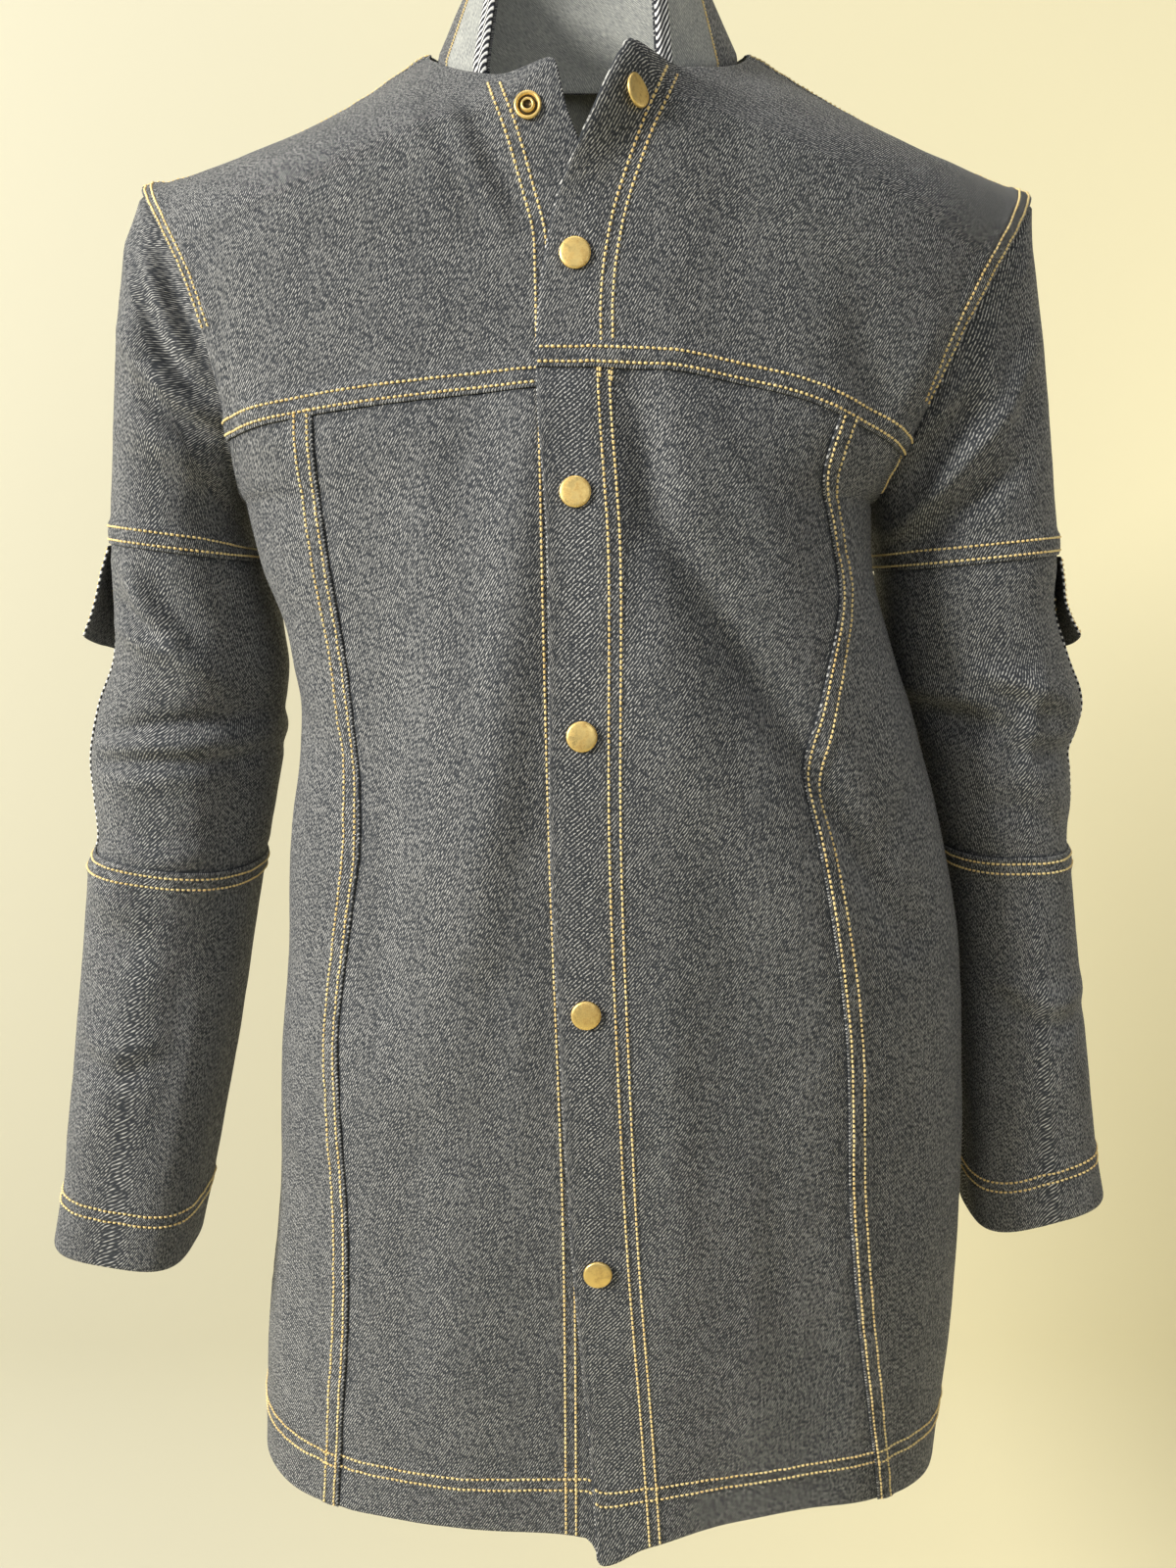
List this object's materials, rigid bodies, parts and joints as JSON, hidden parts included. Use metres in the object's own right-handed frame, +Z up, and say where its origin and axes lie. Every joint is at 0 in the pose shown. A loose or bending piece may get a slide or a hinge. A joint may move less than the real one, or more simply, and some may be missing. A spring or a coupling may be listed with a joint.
{
  "type": "long denim jacket, worn form",
  "caption": "Hip-length raw denim jacket in its worn, hollow form, with a stand collar, front yokes, topstitched seams, snap front and sleeve pockets with flaps.",
  "frame": {"origin": "midway between the two neck points of the shoulder seams, where the wearer holds the garment up", "axes": "+Z up, the front faces -Y, +X towards the wearer's left sleeve"},
  "size_m": [0.622, 0.2569, 0.8609],
  "materials": {
    "denim": "raw indigo warp-faced twill, matt",
    "denim_reverse": "pale weft side of the twill, matt",
    "brass": "antique brushed brass"
  },
  "bodies": {
    "root": {"centre_front_right": "denim", "side_front_right": "denim", "yoke_right": "denim", "facing_right": "denim", "centre_front_left": "denim", "side_front_left": "denim", "yoke_left": "denim", "facing_left": "denim", "back": "denim", "collar": "denim", "collar_turnback_right": "denim_reverse", "sleeve_upper_right": "denim", "sleeve_middle_right": "denim", "sleeve_lower_right": "denim", "sleeve_pocket_right": "denim", "sleeve_flap_right": "denim", "collar_turnback_left": "denim_reverse", "sleeve_upper_left": "denim", "sleeve_middle_left": "denim", "sleeve_lower_left": "denim", "sleeve_pocket_left": "denim", "sleeve_flap_left": "denim", "snap_cap_1": "brass", "snap_cap_2": "brass", "snap_cap_3": "brass", "snap_cap_4": "brass", "snap_cap_5": "brass", "snap_cap_6": "brass", "snap_ring_1": "brass"}
  },
  "joints": []
}
